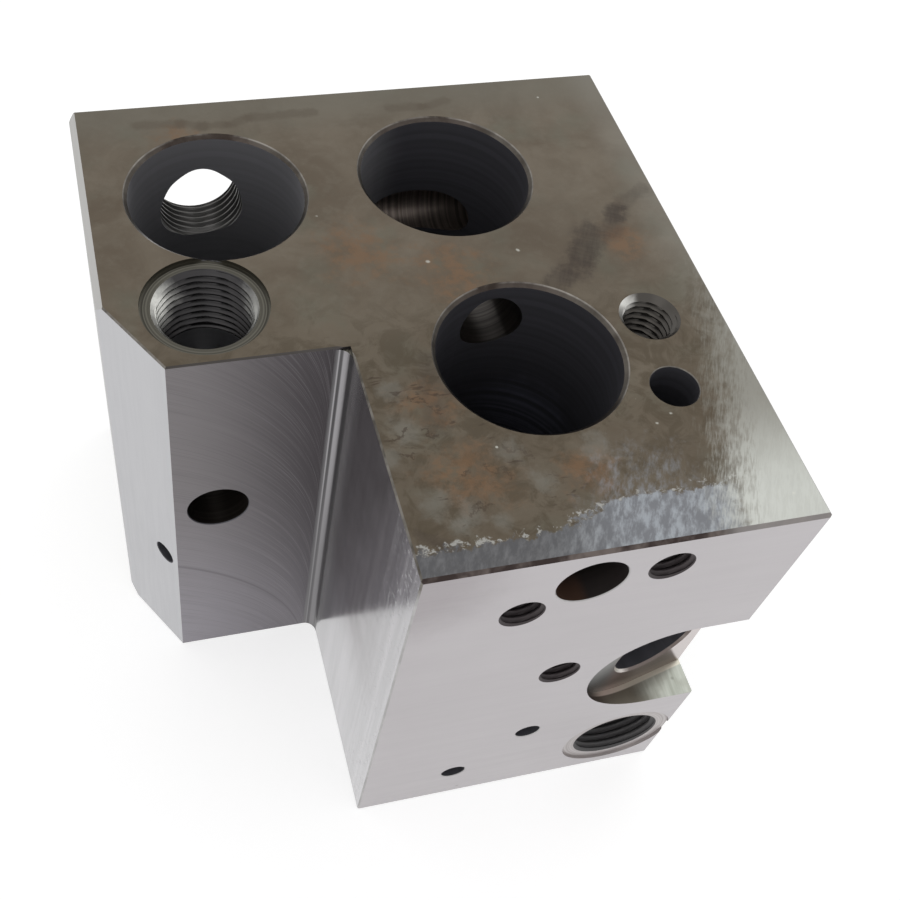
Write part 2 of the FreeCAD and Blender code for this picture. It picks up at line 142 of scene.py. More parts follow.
def ramp(tree, value, low, high, to_low=0.0, to_high=1.0):
    """Value moved smoothly from one range to another."""
    inputs = {"Value": value, "From Min": low, "From Max": high, "To Min": to_low, "To Max": to_high}
    return node(tree, "ShaderNodeMapRange", inputs, interpolation_type="SMOOTHSTEP").outputs[0]


def blend(tree, share, first, second):
    """Mixes two colours by a share."""
    made = node(tree, "ShaderNodeMix", data_type="RGBA")
    for socket, value in ((made.inputs[0], share), (made.inputs[6], first), (made.inputs[7], second)):
        if isinstance(value, bpy.types.NodeSocket):
            tree.links.new(value, socket)
        elif isinstance(value, tuple):
            socket.default_value = (*value, 1)
        else:
            socket.default_value = value
    return made.outputs[2]


def tint(tree, colour, mask, strength, new):
    """Colour with another laid over it by a mask and a strength."""
    return blend(tree, times(tree, mask, strength), colour, new)


def noise(tree, position, scale, detail=3.0, rough=0.55, distortion=0.0):
    """Noise mask at a scale in turns per metre."""
    inputs = {"Vector": position, "Scale": scale, "Detail": detail, "Roughness": rough}
    inputs["Distortion"] = distortion
    return node(tree, "ShaderNodeTexNoise", inputs).outputs["Fac"]


SOCKETS = {"value": "NodeSocketFloat", "vector": "NodeSocketVector", "whole": "NodeSocketInt"}
SOCKETS["mesh"] = "NodeSocketGeometry"
SOCKETS["material"] = "NodeSocketMaterial"


def new_tree(name, kind, inputs, outputs):
    """Node group with named sockets. Returns the tree and its input and output nodes."""
    tree = bpy.data.node_groups.new(name, kind)
    for label, (socket, start) in inputs.items():
        made = tree.interface.new_socket(label, in_out="INPUT", socket_type=SOCKETS[socket])
        if start is not None:
            made.default_value = start
    for label, socket in outputs.items():
        tree.interface.new_socket(label, in_out="OUTPUT", socket_type=SOCKETS[socket])
    return tree, node(tree, "NodeGroupInput").outputs, node(tree, "NodeGroupOutput").inputs


# Thread cutter: a screw-shaped solid along +Z whose flanks stand out from the core
def thread_cutter_tree():
    inputs = {
        "Core Radius": ("value", 0.008),
        "Thread Height": ("value", 0.0008),
        "Pitch": ("value", 0.0015),
        "Length": ("value", 0.014),
        "Run Out": ("value", 0.0005),
        "Around": ("whole", 72),
        "Rows": ("whole", 100),
        "Finish": ("material", None),
    }
    tree, given, result = new_tree("Thread Cutter", "GeometryNodeTree", inputs, {"Cutter": "mesh"})
    sides = {"Vertices": given["Around"], "Side Segments": given["Rows"], "Depth": given["Length"]}
    blank = node(tree, "GeometryNodeMeshCylinder", {**sides, "Radius": 1.0}, fill_type="NGON")
    place = axes(tree, node(tree, "GeometryNodeInputPosition").outputs[0])
    depth = plus(tree, place["Z"], times(tree, given["Length"], 0.5))
    turn = calc(tree, "ARCTAN2", place["Y"], place["X"])
    phase = minus(tree, calc(tree, "DIVIDE", depth, given["Pitch"]), calc(tree, "DIVIDE", turn, math.tau))
    wave = calc(tree, "ABSOLUTE", minus(tree, times(tree, calc(tree, "FRACT", phase), 2.0), 1.0))
    flank = calc(tree, "DIVIDE", minus(tree, wave, ROOT_SHARE), FLANK_SHARE, clamp=True)
    left_over = minus(tree, given["Length"], depth)
    fade = calc(tree, "DIVIDE", left_over, given["Run Out"], clamp=True)
    height = times(tree, times(tree, flank, given["Thread Height"]), fade)
    radius = plus(tree, given["Core Radius"], height)
    around = combined(tree, X=place["X"], Y=place["Y"])
    outward = vector(tree, "SCALE", vector(tree, "NORMALIZE", around), scale=radius)
    upward = combined(tree, Z=depth)
    moved = node(
        tree,
        "GeometryNodeSetPosition",
        {"Geometry": blank.outputs["Mesh"], "Position": vector(tree, "ADD", outward, upward)},
    )
    plain = node(tree, "GeometryNodeRealizeInstances", {"Geometry": moved.outputs[0]})
    painted = {"Geometry": plain.outputs[0], "Material": given["Finish"]}
    finish = node(tree, "GeometryNodeSetMaterial", painted)
    tree.links.new(finish.outputs[0], result["Cutter"])
    return tree


def evaluated_mesh(piece):
    """Plain mesh of a piece with its modifiers worked in."""
    bpy.context.view_layer.update()
    graph = bpy.context.evaluated_depsgraph_get()
    return bpy.data.meshes.new_from_object(piece.evaluated_get(graph), depsgraph=graph)


def new_piece(name, data):
    """Object with its mesh, lamp or camera, in the scene."""
    piece = bpy.data.objects.new(name, data)
    bpy.context.scene.collection.objects.link(piece)
    return piece


def mouth_of(hole):
    """Middle of a hole's mouth on the outer face that it opens to, and its way in."""
    out = Vector(hole["axis"])
    spot = Vector(hole["pos_m"])
    for i in range(3):
        if abs(out[i]) > 0.99:
            spot[i] = BLOCK_HIGH[i] if out[i] > 0 else BLOCK_LOW[i]
    return spot, -out


def cut_thread(tree, name, finish):
    """Screw-shaped cutter of one threaded hole, in place."""
    outer, pitch, length, start = THREADS[name]
    core = HOLES[name]["dims"]["r_mm"] + CORE_PLAY
    pieces_around = 72 if outer > 12 or outer < 8 else 96
    values = {
        "Core Radius": core * MM,
        "Thread Height": (outer / 2 - core) * MM,
        "Pitch": pitch * MM,
        "Length": length * MM,
        "Run Out": (4.0 if name == "rear_port" else 0.6) * MM,
        "Around": pieces_around,
        "Rows": round(length / pitch * 10),
        "Finish": finish,
    }
    blank = bpy.data.meshes.new(name)
    blank.from_pydata([(0, 0, 0)], [], [])
    cutter = new_piece(name + "_cutter", blank)
    turns = cutter.modifiers.new("Turns", "NODES")
    turns.node_group = tree
    for item in tree.interface.items_tree:
        if item.item_type == "SOCKET" and item.in_out == "INPUT":
            turns[item.identifier] = values[item.name]
    mesh = evaluated_mesh(cutter)
    bpy.data.objects.remove(cutter)
    mouth, inward = mouth_of(HOLES[name])
    turned = inward.to_track_quat("Z", "Y").to_matrix().to_4x4()
    mesh.transform(Matrix.Translation(mouth + inward * start * MM) @ turned)
    return mesh


# Shader groups. Positions are object coordinates in metres.
def streaks_group():
    inputs = {"Position": ("vector", None), "Stretch": ("vector", (1, 1, 1)), "Fineness": ("value", 1500.0)}
    tree, given, result = new_tree("Machining Streaks", "ShaderNodeTree", inputs, {"Streaks": "value"})
    stretched = vector(tree, "MULTIPLY", given["Position"], given["Stretch"])
    fine = noise(tree, stretched, given["Fineness"], 2.0)
    broad = noise(tree, stretched, times(tree, given["Fineness"], 0.22), 2.0)
    mixed = plus(tree, times(tree, fine, 0.5), times(tree, broad, 0.5))
    tree.links.new(ramp(tree, mixed, 0.34, 0.66), result["Streaks"])
    return tree


def arcs_group():
    inputs = {"Position": ("vector", None), "Centre X": ("value", 0.0), "Radius": ("value", 0.05)}
    inputs["Spacing"] = ("value", 0.0008)
    outputs = {"Arcs": "value", "Level": "value"}
    tree, given, result = new_tree("Cutter Arcs", "ShaderNodeTree", inputs, outputs)
    place = axes(tree, given["Position"])
    across = minus(tree, place["X"], given["Centre X"])
    square = minus(tree, calc(tree, "POWER", given["Radius"], 2.0), calc(tree, "POWER", across, 2.0))
    rise = calc(tree, "SQRT", calc(tree, "MAXIMUM", square, 0.0))
    level = minus(tree, place["Z"], rise)
    turned = calc(tree, "ARCSINE", calc(tree, "DIVIDE", across, given["Radius"], clamp=True))
    steps = calc(tree, "DIVIDE", level, given["Spacing"])
    along = times(tree, turned, 1.6)
    both = combined(tree, X=steps, Y=along)
    fine = noise(tree, both, 1.0, 3.0, 0.6)
    broad = noise(tree, both, 0.16, 2.0)
    mixed = plus(tree, times(tree, fine, 0.74), times(tree, broad, 0.26))
    tree.links.new(ramp(tree, mixed, 0.36, 0.66), result["Arcs"])
    tree.links.new(level, result["Level"])
    return tree


def rings_group():
    inputs = {"Position": ("vector", None), "Axis": ("vector", (0, 0, 1)), "Spacing": ("value", 0.0006)}
    tree, given, result = new_tree("Turning Rings", "ShaderNodeTree", inputs, {"Rings": "value"})
    along = vector(tree, "DOT_PRODUCT", given["Position"], given["Axis"])
    steps = calc(tree, "DIVIDE", along, given["Spacing"])
    fine = node(tree, "ShaderNodeTexNoise", {"W": steps, "Scale": 1.0, "Detail": 3.0}, noise_dimensions="1D")
    tree.links.new(ramp(tree, fine.outputs["Fac"], 0.3, 0.7), result["Rings"])
    return tree


def patch_group():
    inputs = {"Position": ("vector", None), "Centre": ("vector", (0, 0, 0)), "Radius": ("value", 0.01)}
    inputs["Ragged"] = ("value", 0.5)
    tree, given, result = new_tree("Soft Patch", "ShaderNodeTree", inputs, {"Mask": "value"})
    away = vector(tree, "LENGTH", vector(tree, "SUBTRACT", given["Position"], given["Centre"]))
    near = minus(tree, 1.0, calc(tree, "DIVIDE", away, given["Radius"]))
    rough = minus(tree, noise(tree, given["Position"], 350.0, 5.0, 0.65), 0.5)
    value = plus(tree, near, times(tree, rough, given["Ragged"]))
    tree.links.new(ramp(tree, value, 0.0, 0.8), result["Mask"])
    return tree


def smear_group():
    inputs = {"Position": ("vector", None), "Start": ("vector", (0, 0, 0)), "End": ("vector", (0, 0, 0))}
    inputs["Half Width"] = ("value", 0.002)
    inputs["Ragged"] = ("value", 1.0)
    tree, given, result = new_tree("Smear Line", "ShaderNodeTree", inputs, {"Mask": "value"})
    run = vector(tree, "SUBTRACT", given["End"], given["Start"])
    offset = vector(tree, "SUBTRACT", given["Position"], given["Start"])
    length_two = vector(tree, "DOT_PRODUCT", run, run)
    share = calc(tree, "DIVIDE", vector(tree, "DOT_PRODUCT", offset, run), length_two, clamp=True)
    beside = vector(tree, "SUBTRACT", offset, vector(tree, "SCALE", run, scale=share))
    away = calc(tree, "DIVIDE", vector(tree, "LENGTH", beside), given["Half Width"])
    rough = minus(tree, noise(tree, given["Position"], 420.0, 5.0, 0.7), 0.5)
    value = plus(tree, minus(tree, 1.0, away), times(tree, rough, given["Ragged"]))
    tree.links.new(ramp(tree, value, 0.0, 0.7), result["Mask"])
    return tree


def specks_group():
    inputs = {"Position": ("vector", None), "Per Metre": ("value", 200.0), "Size": ("value", 0.1)}
    inputs["Share"] = ("value", 0.1)
    tree, given, result = new_tree("Sparse Specks", "ShaderNodeTree", inputs, {"Mask": "value"})
    cells = node(tree, "ShaderNodeTexVoronoi", {"Vector": given["Position"], "Scale": given["Per Metre"]})
    dot = ramp(tree, calc(tree, "DIVIDE", cells.outputs["Distance"], given["Size"]), 1.0, 0.5)
    pick = node(tree, "ShaderNodeSeparateColor", {0: cells.outputs["Color"]}).outputs[0]
    chosen = calc(tree, "LESS_THAN", pick, given["Share"])
    tree.links.new(times(tree, dot, chosen), result["Mask"])
    return tree


GROUPS = {
    "streaks": streaks_group(),
    "arcs": arcs_group(),
    "rings": rings_group(),
    "patch": patch_group(),
    "smear": smear_group(),
    "specks": specks_group(),
}


def effect_node(tree, name, **inputs):
    """Places a shader group. Keyword names stand for its socket names."""
    sockets = {key.replace("_", " ").title(): value for key, value in inputs.items()}
    return node(tree, "ShaderNodeGroup", sockets, node_tree=GROUPS[name])


def effect(tree, name, **inputs):
    """Places a shader group and gives its first output."""
    return effect_node(tree, name, **inputs).outputs[0]


def patch(tree, position, centre, radius, ragged):
    """Soft round patch, in metres."""
    return effect(tree, "patch", position=position, centre=centre, radius=radius, ragged=ragged)


def smear(tree, position, start, end, half_width, ragged):
    """Ragged line between two places on the top face, in millimetres from its front right corner."""
    ends = {"start": from_corner(*start), "end": from_corner(*end)}
    half = half_width * MM
    return effect(tree, "smear", position=position, half_width=half, ragged=ragged, **ends)


def streaks(tree, position, stretch, fineness):
    """Fine tool marks, drawn out along the axes with a small stretch."""
    return effect(tree, "streaks", position=position, stretch=stretch, fineness=fineness)


def blank_tree(owner):
    """Empty node tree of a material or a world."""
    owner.use_nodes = True
    owner.node_tree.nodes.clear()
    return owner.node_tree


def steel(name, look, roughness, metallic, *values):
    """New steel material. Its look gives a colour, a roughness, a bump height and a bump depth."""
    material = bpy.data.materials.new(name)
    tree = blank_tree(material)
    shader = node(tree, "ShaderNodeBsdfPrincipled", {"Roughness": roughness, "Metallic": metallic})
    node(tree, "ShaderNodeOutputMaterial", {"Surface": shader.outputs[0]})
    position = node(tree, "ShaderNodeTexCoord").outputs["Object"]
    colour, shine, height, depth = look(tree, position, *values)
    tree.links.new(colour, shader.inputs["Base Color"])
    if shine is not None:
        tree.links.new(shine, shader.inputs["Roughness"])
    if height is not None:
        bump = node(tree, "ShaderNodeBump", {"Height": height, "Distance": depth, "Strength": 1.0})
        tree.links.new(bump.outputs[0], shader.inputs["Normal"])
    return material


def from_corner(x, y, z=0.0):
    """Place in the frame from millimetres right of and behind the front right top corner."""
    return (RIGHT + x * MM, FRONT + y * MM, TOP + z * MM)


def milled_look(tree, position, dark, light, stretch):
    """Milled face with fine straight tool marks and a few grey specks."""
    marks = streaks(tree, position, stretch, 1800.0)
    clouds = noise(tree, position, 45.0, 4.0)
    share = plus(tree, times(tree, marks, 0.3), times(tree, clouds, 0.7))
    colour = blend(tree, share, dark, light)
    grey = effect(tree, "specks", position=position, per_metre=120.0, size=0.06, share=0.06)
    colour = tint(tree, colour, grey, 0.5, (0.22, 0.21, 0.21))
    shine = node(tree, "ShaderNodeMapRange", {"Value": marks, "To Min": 0.3, "To Max": 0.42})
    return colour, shine.outputs[0], marks, 4 * MICRON


def front_face_look(tree, position):
    """Pale milled front face, darker at its left top corner."""
    dark, light = (0.425, 0.404, 0.412), (0.492, 0.47, 0.482)
    plain, *rest = milled_look(tree, position, dark, light, (0.05, 1, 1))
    corner = (NOTCH_SIDE_X, FRONT, TOP - 4 * MM)
    darker_corner = patch(tree, position, corner, 20 * MM, 0.3)
    return tint(tree, plain, darker_corner, 0.6, (0.29, 0.262, 0.272)), *rest


def notch_wall_look(tree, position):
    """Notch wall with the arcs of a face mill, painted shade that deepens up the wall and towards the inner
    corner, and painted highlights on the arcs that grow brighter towards that corner.
    """
    marks = effect_node(
        tree, "arcs", position=position, centre_x=LEFT - 15.2 * MM, radius=52.94 * MM, spacing=0.00034,
    )
    arcs, level = marks.outputs["Arcs"], marks.outputs["Level"]
    place = axes(tree, position)
    inner = ramp(tree, place["X"], LEFT + 8 * MM, NOTCH_SIDE_X)
    upper = ramp(tree, place["Z"], BASE + 4 * MM, TOP - 28 * MM)
    # Painted shade: paler low on the wall, darker higher up and much darker towards the inner corner.
    colour = blend(tree, upper, (0.29, 0.275, 0.3), (0.205, 0.192, 0.196))
    deep = times(tree, inner, plus(tree, times(tree, upper, 0.35), 0.55))
    colour = blend(tree, deep, colour, (0.078, 0.07, 0.076))
    # Painted highlights on the light arcs, brighter towards the inner corner.
    light = plus(tree, 0.16, times(tree, calc(tree, "POWER", inner, 3.0), 0.75))
    light = times(tree, minus(tree, arcs, 0.6), light)
    colour = blend(tree, calc(tree, "MAXIMUM", light, 0.0), colour, (0.42, 0.4, 0.42))
    dark = times(tree, minus(tree, 0.5, arcs), 0.5)
    colour = blend(tree, calc(tree, "MAXIMUM", dark, 0.0), colour, (0.06, 0.055, 0.06))
    line = calc(tree, "ABSOLUTE", minus(tree, level, BASE - 11.6 * MM))
    colour = tint(tree, colour, ramp(tree, line, 0.7 * MM, 0.1 * MM), 0.4, (0.09, 0.08, 0.09))
    shine = node(tree, "ShaderNodeMapRange", {"Value": arcs, "To Min": 0.4, "To Max": 0.52})
    return colour, shine.outputs[0], arcs, 8 * MICRON


def notch_side_look(tree, position):
    """Notch side wall, glossy enough to mirror the wall beside it, with painted shade on its upper part back
    from the front edge, spotted along its front edge.
    """
    marks = streaks(tree, position, (1, 1, 0.03), 1100.0)
    place = axes(tree, position)
    colour = blend(tree, marks, (0.4, 0.395, 0.405), (0.53, 0.52, 0.535))
    front = ramp(tree, place["Y"], FRONT + 22 * MM, FRONT)
    upper = ramp(tree, place["Z"], TOP - 72 * MM, TOP - 50 * MM)
    # Painted shade: darker on the upper part away from the front edge, broken up by clouds.
    shade = times(tree, minus(tree, 1.0, front), upper)
    clouds = ramp(tree, noise(tree, position, 110.0, 5.0, 0.65), 0.3, 0.7, 0.5, 0.85)
    colour = tint(tree, colour, shade, clouds, (0.2, 0.18, 0.185))
    grain = ramp(tree, noise(tree, position, 700.0, 4.0, 0.65), 0.5, 0.7)
    spots = times(tree, front, grain)
    shine = plus(tree, 0.17, times(tree, marks, 0.05))
    shine = plus(tree, shine, times(tree, spots, 0.16))
    colour = tint(tree, colour, spots, 0.15, (0.75, 0.75, 0.75))
    return colour, shine, marks, 4 * MICRON


def ground_top_look(tree, position):
    """Ground top face with an oily brown stain, dark smears, rust and a wet front band."""
    place = axes(tree, position)
    from_front = minus(tree, place["Y"], FRONT)
    from_right = minus(tree, RIGHT, place["X"])
    slanted = node(tree, "ShaderNodeVectorRotate", {"Vector": position, "Angle": math.radians(27)})
    slanted = slanted.outputs[0]
    clouds = noise(tree, position, 60.0, 5.0, 0.6, 0.5)
    fine = noise(tree, position, 420.0, 4.0, 0.65)
    scratches = streaks(tree, slanted, (1, 0.14, 1), 4200.0)
    hairs = streaks(tree, slanted, (1, 0.16, 1), 2200.0)
    cross = streaks(tree, slanted, (0.16, 1, 1), 2200.0)
    hatch = times(tree, plus(tree, hairs, cross), 0.5)

    colour = blend(tree, ramp(tree, clouds, 0.33, 0.7), (0.117, 0.094, 0.069), (0.163, 0.138, 0.106))
    green = ramp(tree, noise(tree, vector(tree, "ADD", position, (0.3, 0.1, 0)), 90.0, 3.0), 0.5, 0.72)
    colour = tint(tree, colour, green, 0.45, (0.135, 0.137, 0.107))
    colour = tint(tree, colour, ramp(tree, fine, 0.45, 0.7), 0.2, (0.2, 0.18, 0.145))
    rear = ramp(tree, place["Y"], REAR - 14 * MM, REAR - 2 * MM)
    colour = tint(tree, colour, rear, 0.6, (0.162, 0.152, 0.124))
    side = ramp(tree, from_right, 9 * MM, 0.0)
    colour = tint(tree, colour, side, 0.45, (0.235, 0.225, 0.195))
    veins = ramp(tree, noise(tree, position, 210.0, 5.0, 0.68, 0.8), 0.42, 0.62)
    near_front = ramp(tree, from_front, 62 * MM, 40 * MM)
    brown = times(tree, near_front, plus(tree, 0.36, times(tree, veins, 0.5)))
    colour = blend(tree, brown, colour, (0.08, 0.064, 0.044))
    left_side = times(tree, ramp(tree, from_right, 55 * MM, 75 * MM), ramp(tree, veins, 0.0, 1.0, 0.0, 0.1))
    colour = blend(tree, left_side, colour, (0.105, 0.086, 0.062))
    middle = patch(tree, position, from_corner(-24, 62), 30 * MM, 0.8)
    colour = tint(tree, colour, middle, 0.25, (0.09, 0.074, 0.056))

    rust = [(-60, 66, 10), (-45, 59, 9), (-54, 17, 10), (-11, 62, 6)]
    rust += [(-36, 15, 7), (-88, 100, 6), (-57, 31, 7)]
    for x, y, radius in rust:
        spot = patch(tree, position, from_corner(x, y), radius * MM, 1.8)
        spot = times(tree, spot, ramp(tree, fine, 0.38, 0.62, 0.1, 0.62))
        colour = blend(tree, spot, colour, (0.185, 0.108, 0.06))
    pale_spots = [(-61, 13, 4), (-56, 10, 3.5), (-58, 8, 2.5), (-47, 20, 4), (-62, 27, 4)]
    pale_spots += [(-33, 19, 4), (-62, 35, 3), (-52, 8, 2.5), (-43, 14, 3), (-66, 22, 3)]
    for x, y, radius in pale_spots:
        spot = patch(tree, position, from_corner(x, y), radius * MM, 2.2)
        colour = tint(tree, colour, spot, 0.34, (0.2, 0.2, 0.18))

    # Short dark dashes of dried oil in front of the notch and the front bore
    dashes = noise(tree, vector(tree, "MULTIPLY", position, (0.4, 1, 1)), 560.0, 3.0, 0.6, 0.4)
    cluster = patch(tree, position, from_corner(-56, 33), 9 * MM, 1.0)
    sparse = calc(tree, "MAXIMUM", ramp(tree, noise(tree, position, 130.0), 0.46, 0.6), cluster)
    dashes = plus(tree, dashes, times(tree, cluster, 0.055))
    dashes = times(tree, ramp(tree, dashes, 0.61, 0.69), sparse)
    zone = times(tree, ramp(tree, from_front, 52 * MM, 38 * MM), ramp(tree, from_right, 22 * MM, 32 * MM))
    colour = tint(tree, colour, times(tree, dashes, zone), 0.65, (0.05, 0.036, 0.027))

    smears = [
        ((-28, 53.5), (-24, 56), 3.0, 0.6),
        ((-24, 55.5), (-20, 60), 4.2, 0.27),
        ((-20.5, 59), (-16.5, 65), 4.2, 0.62),
        ((-12.5, 65), (-10, 69), 3.2, 0.42),
        ((-11, 68), (-9.5, 70.5), 2.4, 0.55),
        ((-8, 71.5), (-2, 75), 2.4, 0.36),
        ((-57, 27), (-54, 40), 3.2, 0.3),
        ((-52, 33), (-49, 38), 2.2, 0.4),
        ((-65, 8), (-60, 4), 1.5, 0.4),
    ]
    for start, end, half, strength in smears:
        line = smear(tree, position, start, end, half, 1.7)
        line = times(tree, line, plus(tree, 0.5, times(tree, hatch, 0.6)))
        colour = tint(tree, colour, line, strength, (0.04, 0.031, 0.027))

    # Thin bent marks in front of the front bore
    sideways = times(tree, minus(tree, veins, 0.5), 1.3 * MM)
    forwards = times(tree, minus(tree, fine, 0.5), 7 * MM)
    bend = combined(tree, X=sideways, Y=forwards)
    bent = vector(tree, "ADD", position, bend)
    thin_marks = [
        ((-47.2, 21.2), (-43.9, 19.3)), ((-51.2, 17.9), (-47.2, 16.1)),
        ((-56.7, 9.7), (-54.8, 10.7)), ((-54.8, 10.7), (-52.8, 11.1)),
        ((-63.4, 22.6), (-62.0, 21.8)), ((-55.8, 17.7), (-54.7, 17.2)),
        ((-64.6, 24.9), (-62.2, 26.5)), ((-59.0, 33.0), (-57.6, 32.0)),
        ((-57.7, 30.4), (-56.1, 29.5)), ((-59.8, 26.3), (-57.8, 25.2)),
    ]
    for start, end in thin_marks:
        line = smear(tree, bent, start, end, 0.45, 2.2)
        line = times(tree, line, ramp(tree, clouds, 0.35, 0.6, 0.3, 0.62))
        colour = blend(tree, line, colour, (0.055, 0.04, 0.03))

    # Tide mark along the rear edge
    tide = [(-94, 104.5), (-86, 104.2), (-82, 102.9), (-77, 102.9), (-73, 104.4), (-60, 104.7)]
    tide_lines = list(zip(tide, tide[1:])) + [((-45, 104), (-38, 103.8)), ((-38, 103.8), (-33, 105))]
    for start, end in tide_lines:
        line = smear(tree, position, start, end, 1.7, 1.6)
        colour = tint(tree, colour, line, 0.42, (0.095, 0.076, 0.056))

    # Wet band along the front edge, with a pale rim and dried streaks
    widening = ramp(tree, from_right, 48 * MM, 30 * MM)
    border = plus(tree, 5.0 * MM, times(tree, widening, 4.0 * MM))
    lace = minus(tree, noise(tree, position, 420.0, 6.0, 0.75), 0.5)
    border = plus(tree, border, times(tree, lace, 8 * MM))
    inside = minus(tree, border, from_front)
    until = plus(tree, from_right, times(tree, lace, 9 * MM))
    band = times(tree, ramp(tree, inside, 0.0, 0.9 * MM), ramp(tree, until, 12.5 * MM, 16 * MM))
    dried = noise(tree, vector(tree, "MULTIPLY", slanted, (1, 0.35, 1)), 800.0, 5.0, 0.68)
    dried = ramp(tree, dried, 0.4, 0.7)
    pale_wet = blend(tree, widening, (0.165, 0.168, 0.178), (0.4, 0.43, 0.46))
    dark_wet = blend(tree, widening, (0.1, 0.103, 0.112), (0.19, 0.2, 0.22))
    wet = blend(tree, dried, dark_wet, pale_wet)
    colour = tint(tree, colour, band, 0.85, wet)
    rim = ramp(tree, calc(tree, "ABSOLUTE", inside), 0.7 * MM, 0.15 * MM)
    dots = ramp(tree, noise(tree, position, 900.0, 2.0), 0.5, 0.62)
    dots = times(tree, dots, ramp(tree, until, 10 * MM, 14 * MM))
    colour = tint(tree, colour, times(tree, rim, dots), 0.75, (0.4, 0.4, 0.38))
    mist = patch(tree, position, from_corner(-27, 9), 13 * MM, 1.6)
    colour = tint(tree, colour, mist, times(tree, dried, 0.5), (0.26, 0.28, 0.31))

    # Bare corner at the front right, where the stain ends in scratches
    slope = minus(tree, 17.5 * MM, plus(tree, from_right, times(tree, from_front, 0.36)))
    torn = plus(tree, slope, times(tree, minus(tree, scratches, 0.5), 4 * MM))
    torn = plus(tree, torn, times(tree, minus(tree, fine, 0.5), 7 * MM))
    bare = ramp(tree, torn, -4.5 * MM, 6 * MM)
    far = ramp(tree, from_front, 4 * MM, 26 * MM)
    pale = blend(tree, far, (0.44, 0.45, 0.42), (0.205, 0.2, 0.176))
    worn = ramp(tree, scratches, 0.2, 0.8, 0.93, 1.0)
    colour = tint(tree, colour, bare, worn, pale)

    chips = effect(tree, "specks", position=position, per_metre=230.0, size=0.07, share=0.11)
    colour = tint(tree, colour, chips, 0.7, (0.5, 0.5, 0.45))
    for x, y in [(-65.5, 76), (-48.5, 62), (-31.5, 62.5), (-46, 75), (-18, 23), (-21, 21.5), (-4.5, 5)]:
        chip = patch(tree, position, from_corner(x, y), 0.45 * MM, 3.0)
        colour = tint(tree, colour, chip, 0.7, (0.5, 0.5, 0.45))
    shine = minus(tree, 0.44, times(tree, bare, 0.12))
    shine = plus(tree, shine, times(tree, fine, 0.08))
    height = plus(tree, times(tree, fine, 0.7), times(tree, scratches, 0.3))
    return colour, shine, height, 12 * MICRON


def turned_look(tree, position, dark, light, axis, spacing):
    """Bored or turned wall with rings along one axis, spaced in millimetres."""
    rings = effect(tree, "rings", position=position, axis=axis, spacing=spacing * MM)
    clouds = noise(tree, position, 90.0, 3.0)
    share = plus(tree, times(tree, rings, 0.7), times(tree, clouds, 0.3))
    return blend(tree, share, dark, light), None, rings, 6 * MICRON


def faced_look(tree, position, hole, dark, light):
    """Spot face with tool rings around its hole."""
    mouth = mouth_of(HOLES[hole])[0]
    away = vector(tree, "LENGTH", vector(tree, "SUBTRACT", position, tuple(mouth)))
    line = combined(tree, X=away)
    rings = effect(tree, "rings", position=line, axis=(1, 0, 0), spacing=0.0004)
    return blend(tree, rings, dark, light), None, rings, 8 * MICRON


def side_lit_look(tree, position, hole, dark, light, reach, lit):
    """Thread with a painted highlight on its left flank, a faint painted one on the other flank, and dark
    elsewhere.
    """
    mouth = mouth_of(HOLES[hole])[0]
    radius = HOLES[hole]["dims"]["r_mm"] * MM
    flank = (mouth.x + lit[0] * radius, mouth.y + lit[1] * radius, mouth.z - lit[2] * MM)
    # Painted highlight on the left flank, where the window lamp would shine, and a faint painted one on the
    # right flank.
    bright = patch(tree, position, flank, reach * MM, 0.5)
    other = (mouth.x + radius, mouth.y - radius * 0.3, mouth.z - 3 * MM)
    faint = patch(tree, position, other, reach * 0.9 * MM, 0.7)
    bright = calc(tree, "MAXIMUM", bright, times(tree, faint, 0.35 if reach > 6 else 0.03))
    # Noise that breaks the painted highlights into glints and also gives the bump.
    grain_and_glints = noise(tree, position, 500.0, 3.0)
    share = times(tree, bright, plus(tree, 0.5, times(tree, grain_and_glints, 0.8)), clamp=True)
    return blend(tree, share, dark, light), None, grain_and_glints, 10 * MICRON


def chamfer_look(tree, position):
    """Chamfers of the bores, dark brown with painted shade, paler grey on their left and right sides by
    painted light, and a painted highlight along the outermost rim.
    """
    patches = noise(tree, position, 160.0, 4.0, 0.6)
    colour = blend(tree, ramp(tree, patches, 0.35, 0.65), (0.036, 0.028, 0.024), (0.075, 0.063, 0.055))
    place = axes(tree, position)
    flat = combined(tree, X=place["X"], Y=place["Y"])
    grey = blend(tree, ramp(tree, patches, 0.35, 0.65), (0.062, 0.054, 0.046), (0.11, 0.099, 0.086))
    for name in ("left_bore", "middle_bore", "front_bore"):
        x, y = HOLES[name]["pos_m"][:2]
        offset = vector(tree, "SUBTRACT", flat, (x, y, 0))
        away = vector(tree, "LENGTH", offset)
        # Painted highlight along the outermost rim, strongest on the sides of each bore.
        rim = times(tree, ramp(tree, away, 16.48 * MM, 16.62 * MM), ramp(tree, away, 18 * MM, 17.5 * MM))
        parts = axes(tree, offset)
        # Painted light: the chamfer is paler grey on the left and right of each bore.
        beside = ramp(tree, calc(tree, "ABSOLUTE", parts["X"]), 7 * MM, 14 * MM)
        beside = times(tree, beside, ramp(tree, away, 18 * MM, 17.5 * MM))
        colour = blend(tree, beside, colour, grey)
        sides = ramp(tree, calc(tree, "ABSOLUTE", parts["X"]), 3 * MM, 14 * MM, 0.1, 0.5)
        rim = times(tree, rim, plus(tree, sides, ramp(tree, patches, 0.4, 0.65, -0.2, 0.2)))
        colour = blend(tree, rim, colour, (0.36, 0.34, 0.31))
    return colour, None, patches, 8 * MICRON


